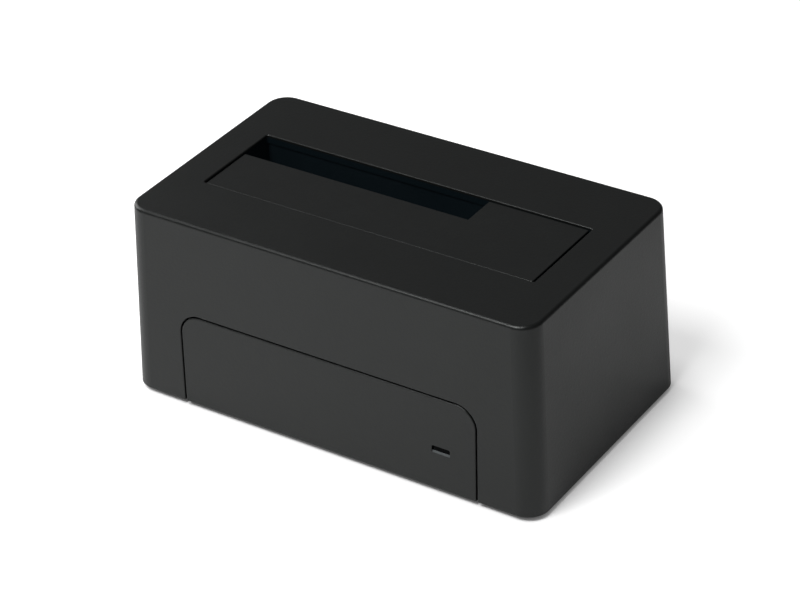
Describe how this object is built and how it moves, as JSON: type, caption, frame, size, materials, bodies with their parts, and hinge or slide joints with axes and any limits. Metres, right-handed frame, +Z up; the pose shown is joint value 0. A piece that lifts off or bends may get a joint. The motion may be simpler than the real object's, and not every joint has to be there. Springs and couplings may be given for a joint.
{
  "type": "hard drive docking station",
  "caption": "Upright dock for bare 3.5 or 2.5 inch drives: tapered dark case, sprung L-shaped flap over the top slot, status light in front, ports and button behind.",
  "frame": {"origin": "middle of the body on the surface that the feet stand on", "axes": "+X to the right along the length seen from the front, +Y from the front to the rear ports, +Z up out of the drive slot"},
  "size_m": [0.129, 0.0754, 0.0575],
  "materials": {
    "case_plastic": "fine-textured charcoal black ABS",
    "inner_plastic": "plain black ABS",
    "button_plastic": "satin charcoal plastic",
    "foot_rubber": "matt black rubber",
    "steel": "bright drawn steel",
    "screw_steel": "zinc-plated steel",
    "tin_plate": "tin-plated sheet metal",
    "contact_metal": "gold-plated contact",
    "board": "green solder mask on glass epoxy",
    "connector_plastic": "black glass-filled nylon",
    "port_plastic": "blue moulded insulator",
    "chip_plastic": "moulded epoxy",
    "coil_ferrite": "grey ferrite",
    "can_aluminium": "drawn aluminium can",
    "ceramic": "fired ceramic",
    "smoked_plastic": "smoked light pipe, dark while the lamp is off",
    "lamp_resin": "pale resin over the lamp"
  },
  "bodies": {
    "case": {"housing": "case_plastic", "base_tray": "case_plastic", "drive_cradle": "inner_plastic", "power_switch_housing": "inner_plastic", "front_left_foot": "foot_rubber", "front_right_foot": "foot_rubber", "rear_left_foot": "foot_rubber", "rear_right_foot": "foot_rubber", "flap_shaft": "steel", "shaft_clips": "steel", "left_flap_spring": "steel", "right_flap_spring": "steel", "switch_spring": "steel", "base_screws": "screw_steel", "cradle_screws": "screw_steel", "board_screws": "screw_steel", "circuit_board": "board", "drive_connector_housing": "connector_plastic", "drive_connector_contacts": "contact_metal", "data_port_shell": "tin_plate", "data_port_insulator": "port_plastic", "data_port_contacts": "contact_metal", "power_jack_housing": "connector_plastic", "power_jack_pin": "tin_plate", "power_jack_leaf": "tin_plate", "switch_pins": "tin_plate", "light_pipe": "smoked_plastic", "status_lamp": "lamp_resin", "bridge_chip": "chip_plastic", "bridge_chip_leads": "tin_plate", "memory_chip": "chip_plastic", "memory_chip_leads": "tin_plate", "voltage_regulator": "chip_plastic", "voltage_regulator_leads": "tin_plate", "crystal": "tin_plate", "electrolytic_capacitors": "can_aluminium", "power_coil": "coil_ferrite", "ceramic_capacitors": "ceramic", "resistors": "chip_plastic"},
    "flap": {"drive_flap": "case_plastic"},
    "button": {"power_button": "button_plastic", "switch_plunger": "inner_plastic"}
  },
  "joints": [
    {"name": "flap_hinge", "type": "hinge", "parent": "case", "child": "flap", "pos_m": [0, -0.0197, 0.0513], "axis": [-1, 0, 0], "range_deg": [0, 90], "stiffness_Nm_per_rad": 0.004, "springref_deg": -85.94, "deforming": ["left_flap_spring", "right_flap_spring"]},
    {"name": "button_press", "type": "slide", "parent": "case", "child": "button", "axis": [0, -1, 0], "range_m": [0, 0.0015], "stiffness_N_per_m": 400, "springref_m": -0.002, "deforming": ["switch_spring"]}
  ]
}
